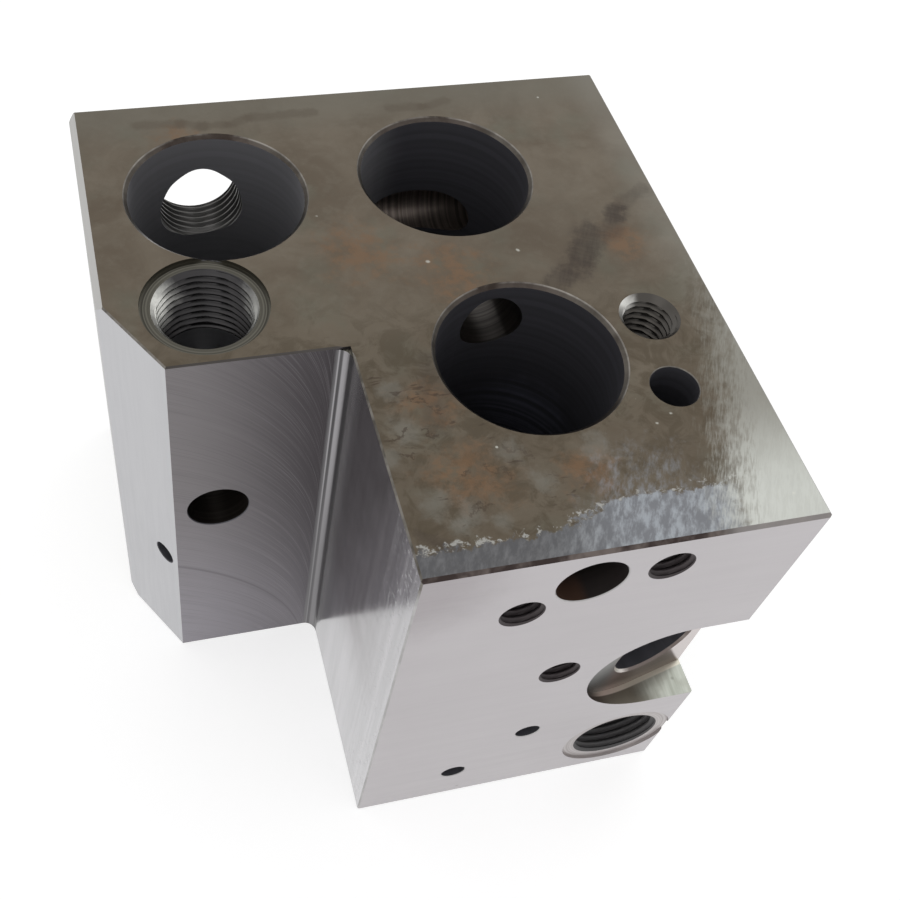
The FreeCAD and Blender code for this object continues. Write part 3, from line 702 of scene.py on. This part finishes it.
def bore_wall_look(tree, position):
    """Bore walls painted dark for the shade inside them, with faint rings, a little paler in the left bore
    and with a painted bluish sheen on the far wall of the front bore.
    """
    rings = effect(tree, "rings", position=position, axis=(0, 0, 1), spacing=0.0013)
    x, y = HOLES["left_bore"]["pos_m"][:2]
    near = patch(tree, position, (x, y, TOP - 12 * MM), 60 * MM, 0.05)
    pale = blend(tree, rings, (0.18, 0.179, 0.19), (0.198, 0.197, 0.21))
    plain = blend(tree, rings, (0.06, 0.059, 0.067), (0.076, 0.075, 0.087))
    colour = blend(tree, ramp(tree, near, 0.25, 0.6), plain, pale)
    x, y = HOLES["front_bore"]["pos_m"][:2]
    far_wall = (x + 10 * MM, y + 12 * MM, TOP - 34 * MM)
    # Painted reflection: a bluish sheen on the far wall of the front bore.
    sheen = patch(tree, position, far_wall, 13 * MM, 0.8)
    blue = blend(tree, rings, (0.07, 0.07, 0.085), (0.2, 0.205, 0.28))
    colour = tint(tree, colour, sheen, 0.6, blue)
    return colour, None, rings, 3 * MICRON


def gallery_look(tree, position):
    """Gallery walls painted dark as shade, with painted light on one side past the front bore, paler in the
    front mouth by painted light, and a reddish painted glint low on the left of that mouth.
    """
    rings = effect(tree, "rings", position=position, axis=(0, 1, 0), spacing=0.0008)
    dark = blend(tree, rings, (0.022, 0.018, 0.015), (0.04, 0.034, 0.03))
    lit = blend(tree, rings, (0.044, 0.039, 0.036), (0.1, 0.091, 0.083))
    place = axes(tree, position)
    axis = HOLES["front_gallery"]["pos_m"]
    aside = minus(tree, place["X"], axis[0])
    left = ramp(tree, aside, 1.5 * MM, -0.5 * MM)
    behind = ramp(tree, place["Y"], FRONT + 50 * MM, FRONT + 51 * MM)
    # Painted light on one side of the gallery past the front bore.
    floor_side = times(tree, ramp(tree, aside, 4.4 * MM, 3.7 * MM), ramp(tree, aside, -1.5 * MM, 1 * MM))
    floor_side = times(tree, floor_side, behind)
    colour = blend(tree, floor_side, dark, lit)
    low = ramp(tree, minus(tree, place["Z"], axis[2]), 1 * MM, -4 * MM)
    # Painted light near the front mouth, with a reddish painted glint low on its left.
    mouth = ramp(tree, place["Y"], FRONT + 7 * MM, FRONT + 2 * MM)
    colour = blend(tree, mouth, colour, (0.07, 0.058, 0.056))
    mouth_glint = times(tree, times(tree, left, low), mouth)
    colour = blend(tree, mouth_glint, colour, (0.15, 0.085, 0.06))
    return colour, None, rings, 8 * MICRON


def slot_rim_look(tree, position):
    """Chamfer of the slot's bore, with a painted highlight on the left, brown towards the right."""
    along = slot_place(tree, position)[0]
    grain = noise(tree, position, 400.0, 3.0)
    # Painted highlight on the left part of the chamfer.
    bright = ramp(tree, along, -2.5 * MM, -6.5 * MM)
    share = plus(tree, bright, ramp(tree, grain, 0.3, 0.7, -0.12, 0.12), clamp=True)
    colour = blend(tree, share, (0.15, 0.125, 0.115), (0.62, 0.58, 0.55))
    return colour, None, grain, 6 * MICRON


def notch_round_look(tree, position):
    """Inner corner round of the notch, with painted light and dark bands that stand in for the lines that it
    mirrors.
    """
    axis = (NOTCH_SIDE_X - NOTCH_ROUND, NOTCH_WALL_Y - NOTCH_ROUND, 0)
    place = axes(tree, vector(tree, "SUBTRACT", position, axis))
    turned = calc(tree, "DIVIDE", calc(tree, "ARCTAN2", place["X"], place["Y"]), math.pi / 2, clamp=True)
    # Painted reflections: light and dark bands by the angle around the round.
    bands = node(tree, "ShaderNodeValToRGB", {0: turned})
    stops = [(0.0, 0.13), (0.14, 0.14), (0.16, 0.32), (0.2, 0.32), (0.23, 0.07), (0.33, 0.07)]
    stops += [(0.39, 0.3), (0.64, 0.27), (0.7, 0.08), (1.0, 0.09)]
    elements = bands.color_ramp.elements
    for number, (spot, value) in enumerate(stops):
        stop = elements[number] if number < 2 else elements.new(spot)
        stop.position = spot
        stop.color = (value, value * 0.97, value, 1)
    elements[len(stops) - 1].position = 1.0
    marks = streaks(tree, position, (1, 1, 0.02), 2200.0)
    low = ramp(tree, place["Z"], TOP - 20 * MM, TOP - 70 * MM)
    colour = tint(tree, bands.outputs[0], low, 0.55, (0.16, 0.156, 0.16))
    colour = tint(tree, colour, marks, 0.2, (0.3, 0.29, 0.3))
    return colour, None, marks, 4 * MICRON


def slot_place(tree, position):
    """Place on the slot's turned floor: along it, up it and out of it, from the round end's centre."""
    offset = vector(tree, "SUBTRACT", position, tuple(SLOT_END))
    along = vector(tree, "DOT_PRODUCT", offset, tuple(SLOT_ALONG))
    up = vector(tree, "DOT_PRODUCT", offset, (0, 0, 1))
    out = vector(tree, "DOT_PRODUCT", offset, tuple(SLOT_OUT))
    return along, up, out


def slot_floor_look(tree, position):
    """Slot floor with painted reflections, brown under the bore where it mirrors the dark ledge and pale
    beside it where it mirrors the open side, and grey at the round end.
    """
    along, up = slot_place(tree, position)[:2]
    marks = streaks(tree, position, (0.1, 1, 1), 900.0)
    colour = blend(tree, marks, (0.088, 0.054, 0.047), (0.125, 0.079, 0.07))
    # Painted reflections: brown where the floor mirrors the ledge, pale beside the bore where it mirrors the
    # open side.
    corner = plus(tree, along, times(tree, up, 0.55))
    beside = ramp(tree, corner, 2.4 * MM, 3.1 * MM)
    colour = blend(tree, beside, colour, (0.56, 0.51, 0.5))
    end = ramp(tree, along, -6 * MM, -10.5 * MM)
    grey = blend(tree, ramp(tree, up, -7 * MM, 4 * MM), (0.035, 0.036, 0.036), (0.22, 0.22, 0.21))
    colour = blend(tree, end, colour, grey)
    return colour, None, marks, 5 * MICRON


def slot_wall_look(tree, position):
    """Slot walls: pale striated ledge with a painted highlight along its foot, brown with painted shade
    towards the round end.
    """
    along, _, out = slot_place(tree, position)
    marks = streaks(tree, position, (1, 0.08, 0.08), 1300.0)
    colour = blend(tree, marks, (0.33, 0.345, 0.3), (0.47, 0.49, 0.44))
    clouds = noise(tree, position, 250.0, 3.0)
    colour = blend(tree, ramp(tree, clouds, 0.6, 0.4, 0.0, 0.35), colour, (0.27, 0.27, 0.23))
    # Painted shade: the ledge darkens towards the round end, where the wall turns away from the light.
    colour = blend(tree, ramp(tree, along, 4 * MM, -2 * MM), colour, (0.17, 0.155, 0.125))
    turn = ramp(tree, along, -7 * MM, -12.5 * MM)
    deep = blend(tree, marks, (0.055, 0.042, 0.038), (0.088, 0.067, 0.06))
    colour = blend(tree, turn, colour, deep)
    # Painted highlight: a pale line along the foot of the ledge.
    rim = times(tree, ramp(tree, out, 1.15 * MM, 0.85 * MM), ramp(tree, along, -14 * MM, -8 * MM))
    pale = blend(tree, ramp(tree, along, -8 * MM, 0.0), (0.72, 0.62, 0.55), (0.62, 0.59, 0.5))
    colour = tint(tree, colour, rim, 0.9, pale)
    specks = effect(tree, "specks", position=position, per_metre=420.0, size=0.3, share=0.2)
    colour = tint(tree, colour, specks, 0.65, (0.1, 0.1, 0.085))
    return colour, None, marks, 6 * MICRON


def edge_look(tree, position):
    """Broken edges, oily around the top face and bare elsewhere."""
    patches = ramp(tree, noise(tree, position, 300.0, 3.0), 0.35, 0.65)
    oily = blend(tree, patches, (0.085, 0.077, 0.066), (0.2, 0.187, 0.168))
    bare = blend(tree, patches, (0.36, 0.354, 0.35), (0.43, 0.424, 0.42))
    place = axes(tree, position)
    upper = ramp(tree, place["Z"], TOP - 6 * MM, TOP - 2 * MM)
    return blend(tree, upper, bare, oily), None, None, None


def front_edge_look(tree, position):
    """Broken front top edge, dark with oil and paler at its right end."""
    patches = ramp(tree, noise(tree, position, 260.0, 3.0), 0.4, 0.7)
    colour = blend(tree, patches, (0.045, 0.034, 0.032), (0.15, 0.125, 0.115))
    place = axes(tree, position)
    bare = ramp(tree, place["X"], RIGHT - 20 * MM, RIGHT - 15 * MM)
    return tint(tree, colour, bare, 0.6, (0.36, 0.34, 0.33)), None, None, None


# Finishes: look, roughness, share of metal and what else the look takes
LOOKS = {
    "ground_top": (ground_top_look, 0.35, 0.9),
    "front_face": (front_face_look, 0.35, 1),
    "notch_wall": (notch_wall_look, 0.35, 1),
    "notch_side": (notch_side_look, 0.35, 1),
    "notch_round": (notch_round_look, 0.3, 1),
    "slant_face": (milled_look, 0.35, 1, (0.44, 0.44, 0.453), (0.5, 0.5, 0.515), (1, 1, 0.05)),
    "outer_face": (milled_look, 0.35, 1, (0.375, 0.369, 0.36), (0.44, 0.435, 0.42), (1, 0.05, 1)),
    "slot_floor": (slot_floor_look, 0.36, 1),
    "slot_wall": (slot_wall_look, 0.34, 1),
    "bore_wall": (bore_wall_look, 0.45, 0.35),
    "gallery_wall": (gallery_look, 0.38, 0.7),
    "cross_gallery": (turned_look, 0.4, 0.7, (0.07, 0.056, 0.048), (0.22, 0.18, 0.155), (1, 0, 0), 0.8),
    # The two threads below carry painted highlights: dark colour, highlight colour, the highlight's reach in
    # mm and where it sits on the flank.
    "port_thread": (
        side_lit_look, 0.3, 0.75, "top_port", (0.043, 0.041, 0.042), (1.0, 1.0, 0.94), 9.6, (-1, 0.1, 5)
    ),
    "stud_thread": (
        side_lit_look, 0.3, 0.75, "stud_thread", (0.07, 0.064, 0.057), (0.85, 0.84, 0.8), 4.6,
        (-0.9, 0.7, 0.3),
    ),
    "rear_thread": (turned_look, 0.36, 0.6, (0.085, 0.082, 0.08), (0.13, 0.127, 0.12), (0, 1, 0), 0.5),
    "low_thread": (turned_look, 0.65, 0.1, (0.05, 0.048, 0.049), (0.075, 0.072, 0.073), (0, 1, 0), 0.5),
    "dark_thread": (turned_look, 0.55, 0.25, (0.036, 0.028, 0.03), (0.058, 0.046, 0.048), (0, 1, 0), 0.5),
    "chamfer": (chamfer_look, 0.34, 1),
    "broken_edge": (edge_look, 0.36, 1),
    "oily_edge": (milled_look, 0.35, 1, (0.04, 0.035, 0.032), (0.1, 0.093, 0.088), (0.04, 1, 1)),
    "front_edge": (front_edge_look, 0.4, 1),
    "slot_rim": (slot_rim_look, 0.32, 1),
    "top_spot": (faced_look, 0.34, 1, "top_port", (0.05, 0.047, 0.039), (0.126, 0.12, 0.1)),
    "low_spot": (faced_look, 0.34, 1, "low_port", (0.33, 0.3, 0.295), (0.45, 0.425, 0.42)),
    "rear_spot": (faced_look, 0.34, 1, "rear_port", (0.3, 0.3, 0.29), (0.42, 0.42, 0.41)),
}
FINISHES = {name: steel(name + "_steel", *row) for name, row in LOOKS.items()}
FINISH_ORDER = list(FINISHES)


# The block with its threads
def add_corner_relief(joined):
    """Box that squares the notch's inner corner just below the top face."""
    wide = NOTCH_ROUND + 0.1 * MM
    low = Vector((NOTCH_SIDE_X - wide, NOTCH_WALL_Y - wide, TOP - 0.5 * MM))
    high = Vector((NOTCH_SIDE_X, NOTCH_WALL_Y, TOP + 1 * MM))
    scale = Matrix.Diagonal((*(high - low), 1))
    bmesh.ops.create_cube(joined, size=1.0, matrix=Matrix.Translation((low + high) / 2) @ scale)


def split_slivers(mesh):
    """Merges corners closer than a thousandth of a millimetre and splits faces of many sides."""
    shell = bmesh.new()
    shell.from_mesh(mesh)
    bmesh.ops.dissolve_degenerate(shell, dist=0.001 * MM, edges=shell.edges)
    bmesh.ops.triangulate(shell, faces=[face for face in shell.faces if len(face.verts) > 4])
    shell.to_mesh(mesh)
    shell.free()


def threaded_block():
    """Copy of the block's solid with every thread cut into it."""
    source = frame["nodes"]["valve_body"].data.copy()
    shell = bmesh.new()
    shell.from_mesh(source)
    bmesh.ops.remove_doubles(shell, verts=shell.verts, dist=1e-6)
    shell.to_mesh(source)
    shell.free()
    block = new_piece("valve_body_block", source)
    block.data.materials.clear()

    tree = thread_cutter_tree()
    joined = bmesh.new()
    for name in THREADS:
        joined.from_mesh(cut_thread(tree, name, FINISHES["dark_thread"]))
    add_corner_relief(joined)
    mesh = bpy.data.meshes.new("thread_cutters")
    joined.to_mesh(mesh)
    joined.free()
    cutters = new_piece("thread_cutters", mesh)
    cut = block.modifiers.new("Threads", "BOOLEAN")
    cut.operation = "DIFFERENCE"
    cut.solver = "MANIFOLD"
    cut.object = cutters
    result = evaluated_mesh(block)
    block.modifiers.clear()
    split_slivers(result)
    block.data = result
    bpy.data.objects.remove(cutters)
    return block


def around_axis(centres, name):
    """Depth of each face below a hole's mouth, its distance from the axis and its way outwards."""
    mouth, inward = mouth_of(HOLES[name])
    offset = centres - np.array(mouth)
    depth = offset @ np.array(inward)
    beside = offset - depth[:, None] * np.array(inward)
    away = np.linalg.norm(beside, axis=1)
    return depth, away, beside / np.maximum(away, 1e-9)[:, None]


def on_wall(centres, normals, name, radius):
    """Faces of a hole's round wall."""
    away, outward = around_axis(centres, name)[1:]
    facing = (normals * outward).sum(axis=1) < -0.97
    return facing & (abs(away - radius * MM) < 0.12 * MM)


def in_mouth(centres, name, radius, deep):
    """Faces near a hole's mouth, within a radius and a depth."""
    depth, away = around_axis(centres, name)[:2]
    return (away < radius * MM) & (depth > 0.02 * MM) & (depth < deep * MM)


def on_thread(centres, name):
    """Faces that lie on one thread, by their distance from its axis and their depth."""
    outer, _, length, start = THREADS[name]
    depth, away = around_axis(centres, name)[:2]
    core = HOLES[name]["dims"]["r_mm"] * MM
    near = (away > core + 0.012 * MM) & (away < (outer / 2 + 0.05) * MM)
    return near & (depth > start * MM) & (depth < (start + length + 0.2) * MM)


# Share of a face's direction along an axis from which the face counts as square to it
FACING = 0.999


def sloped(share):
    """Faces that lean towards an axis without being square to it."""
    return (share > 0.2) & (share < 0.98)


def finish_faces(block):
    """Gives each face of the block the finish of the surface that it belongs to."""
    mesh = block.data
    count = len(mesh.polygons)
    centres = np.zeros((count, 3))
    normals = np.zeros((count, 3))
    mesh.polygons.foreach_get("center", centres.ravel())
    mesh.polygons.foreach_get("normal", normals.ravel())
    x, y, z = centres.T
    nx, ny, nz = normals.T
    near = 0.03 * MM
    finish = np.full(count, FINISH_ORDER.index("bore_wall"))

    def give(where, name):
        finish[where] = FINISH_ORDER.index(name)

    give(on_wall(centres, normals, "front_gallery", 5.9), "gallery_wall")
    give(on_wall(centres, normals, "notch_gallery", 5.9), "gallery_wall")
    give(on_wall(centres, normals, "side_plug", 5.25), "cross_gallery")
    give((z > TOP - 1.7 * MM) & sloped(nz), "broken_edge")
    wall_top = (z > TOP - 0.6 * MM) & (abs(y - NOTCH_WALL_Y) < 0.6 * MM) & (x < NOTCH_SIDE_X)
    give(wall_top & sloped(nz), "oily_edge")
    for name in ("left_bore", "middle_bore", "front_bore"):
        give(in_mouth(centres, name, 16.9, 0.9) & sloped(nz), "chamfer")
    give((z < BASE + 0.4 * MM) & sloped(-nz), "broken_edge")
    give((y < FRONT + 1.2 * MM) & sloped(-ny), "broken_edge")
    give((y > REAR - 2 * MM) & sloped(ny), "broken_edge")
    give((x > RIGHT - 1 * MM) & sloped(nx), "broken_edge")
    give((x < LEFT + 1.2 * MM) & sloped(-nx) & (abs(ny) < 0.1), "outer_face")
    give((y < FRONT + 0.7 * MM) & (z > TOP - 0.7 * MM) & (ny < -0.3) & (nz > 0.3), "front_edge")
    flat_faces = [
        (nz, z, TOP, "ground_top"),
        (-nz, z, BASE, "outer_face"),
        (-ny, y, FRONT, "front_face"),
        (ny, y, REAR, "outer_face"),
        (nx, x, RIGHT, "outer_face"),
        (-nx, x, LEFT, "outer_face"),
        (-ny, y, NOTCH_WALL_Y, "notch_wall"),
        (-nx, x, NOTCH_SIDE_X, "notch_side"),
    ]
    for facing, place, level, name in flat_faces:
        give((facing > FACING) & (abs(place - level) < near), name)
    inner = (x < NOTCH_SIDE_X + near) & (x > NOTCH_SIDE_X - 2.6 * MM) & (y < NOTCH_WALL_Y + near)
    give(inner & (abs(nz) < 0.01) & (nx < -0.01) & (nx > -0.998) & (ny < -0.01), "notch_round")
    to_slant = (centres - np.array(SLANT_EDGE)) @ np.array(SLANT_OUT)
    give((normals @ np.array(SLANT_OUT) > FACING) & (abs(to_slant) < near), "slant_face")
    give((nz > FACING) & (z < TOP - 0.5 * MM) & (z > TOP - 1 * MM), "top_spot")
    give(in_mouth(centres, "top_port", 13.5, 0.7) & (abs(nz) < 0.2), "top_spot")
    low_face = in_mouth(centres, "low_port", 11.8, 1.0) & ~in_mouth(centres, "low_port", 9.05, 1.0)
    give(low_face, "low_spot")
    give(in_mouth(centres, "low_port", 12.3, 0.9) & ~in_mouth(centres, "low_port", 11, 0.9), "low_spot")
    give((ny > FACING) & (y < REAR - 0.5 * MM) & (y > REAR - 1 * MM), "rear_spot")
    from_end = centres - np.array(SLOT_END)
    above_floor = from_end @ np.array(SLOT_OUT)
    along_floor = np.minimum(from_end @ np.array(SLOT_ALONG), 0)
    in_slot = (x > RIGHT - 30 * MM) & (abs(z - SLOT_END.z) < 16 * MM)
    in_slot &= (y > FRONT + near) & (above_floor < 8 * MM)
    to_floor = normals @ np.array(SLOT_OUT)
    beside_bore = np.hypot(along_floor, z - SLOT_END.z) > 12 * MM
    give(in_slot & beside_bore & (above_floor > near) & (abs(to_floor) < 0.01), "slot_wall")
    give(in_slot & (abs(above_floor) < near) & (to_floor > FACING), "slot_floor")
    mouth = in_slot & (abs(above_floor) < 0.6 * MM) & sloped(to_floor)
    give(mouth & ~beside_bore, "slot_rim")
    threads = {"top_port": "port_thread", "stud_thread": "stud_thread", "rear_port": "rear_thread"}
    threads["low_port"] = "low_thread"
    for name in THREADS:
        wide = HOLES[name]["dims"]["r_mm"] + (1.3 if name == "stud_thread" else 0.9)
        on_turns = in_mouth(centres, name, wide, 2.2) | on_thread(centres, name)
        give(on_turns, threads.get(name, "dark_thread"))
    mesh.materials.clear()
    for name in FINISH_ORDER:
        mesh.materials.append(FINISHES[name])
    mesh.polygons.foreach_set("material_index", finish.astype(np.int32))
    mesh.update()


def smooth_walls(block):
    """Round walls shade smoothly, and every real edge stays sharp."""
    shell = bmesh.new()
    shell.from_mesh(block.data)
    for edge in shell.edges:
        edge.smooth = len(edge.link_faces) == 2 and edge.calc_face_angle(0) < math.radians(26)
    for face in shell.faces:
        face.smooth = True
    shell.to_mesh(block.data)
    shell.free()
    weighted = block.modifiers.new("Weighted", "WEIGHTED_NORMAL")
    weighted.keep_sharp = True
    mesh = evaluated_mesh(block)
    block.modifiers.clear()
    block.data = mesh


block = threaded_block()
smooth_walls(block)
finish_faces(block)
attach(block, "root")
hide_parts("valve_body")


# Studio
def studio_floor():
    """White floor under the block."""
    material = bpy.data.materials.new("floor_white")
    tree = blank_tree(material)
    paint = node(tree, "ShaderNodeBsdfDiffuse", {"Color": (0.6, 0.6, 0.6, 1)})
    glow = node(tree, "ShaderNodeEmission", {"Color": (1, 1, 1, 1), "Strength": 0.6})
    both = node(tree, "ShaderNodeAddShader", {0: paint.outputs[0], 1: glow.outputs[0]})
    node(tree, "ShaderNodeOutputMaterial", {"Surface": both.outputs[0]})
    mesh = bpy.data.meshes.new("floor")
    reach = 3.0
    level = BASE - 0.1 * MM
    mesh.from_pydata(
        [(-reach, -reach, level), (reach, -reach, level), (reach, reach, level), (-reach, reach, level)],
        [],
        [(0, 1, 2, 3)],
    )
    mesh.materials.append(material)
    new_piece("floor", mesh)


def studio_light():
    """Even white room and soft lamps."""
    world = bpy.data.worlds.new("studio")
    bpy.context.scene.world = world
    tree = blank_tree(world)
    path = node(tree, "ShaderNodeLightPath").outputs
    mirrored = calc(tree, "MAXIMUM", path["Is Glossy Ray"], path["Is Transmission Ray"])
    seen = calc(tree, "MAXIMUM", path["Is Camera Ray"], mirrored)
    strength = ramp(tree, seen, 0.0, 1.0, 0.75, 1.0)
    room = node(tree, "ShaderNodeBackground", {"Color": (1, 1, 1, 1), "Strength": strength})
    node(tree, "ShaderNodeOutputWorld", {"Surface": room.outputs[0]})

    lamps = [
        ("window_lamp", (0.44, 0.31, 0.67), 0.3, 0.25),
        ("fill_lamp", (-0.5, -0.5, 0.7), 0.6, 0.5),
    ]
    for name, place, wide, power in lamps:
        lamp = bpy.data.lights.new(name, "AREA")
        lamp.shape = "SQUARE"
        lamp.size = wide
        lamp.energy = power
        holder = new_piece(name, lamp)
        holder.location = place
        aim = Vector((0, 0, 0.06)) - holder.location
        holder.rotation_euler = aim.to_track_quat("-Z", "Y").to_euler()


def photo_camera():
    """Camera at the viewing angle of the photograph."""
    lens = bpy.data.cameras.new("camera")
    lens.sensor_width = 36
    lens.lens = 45.804
    lens.shift_x = 0.1128
    lens.shift_y = -0.0012
    lens.clip_start = 0.01
    camera = new_piece("camera", lens)
    camera.location = (-0.053804, -0.127871, 0.240922)
    camera.rotation_euler = (0.624766, -0.087487, -0.228161)
    bpy.context.scene.camera = camera


studio_floor()
studio_light()
photo_camera()
bpy.context.scene.view_settings.view_transform = "Standard"
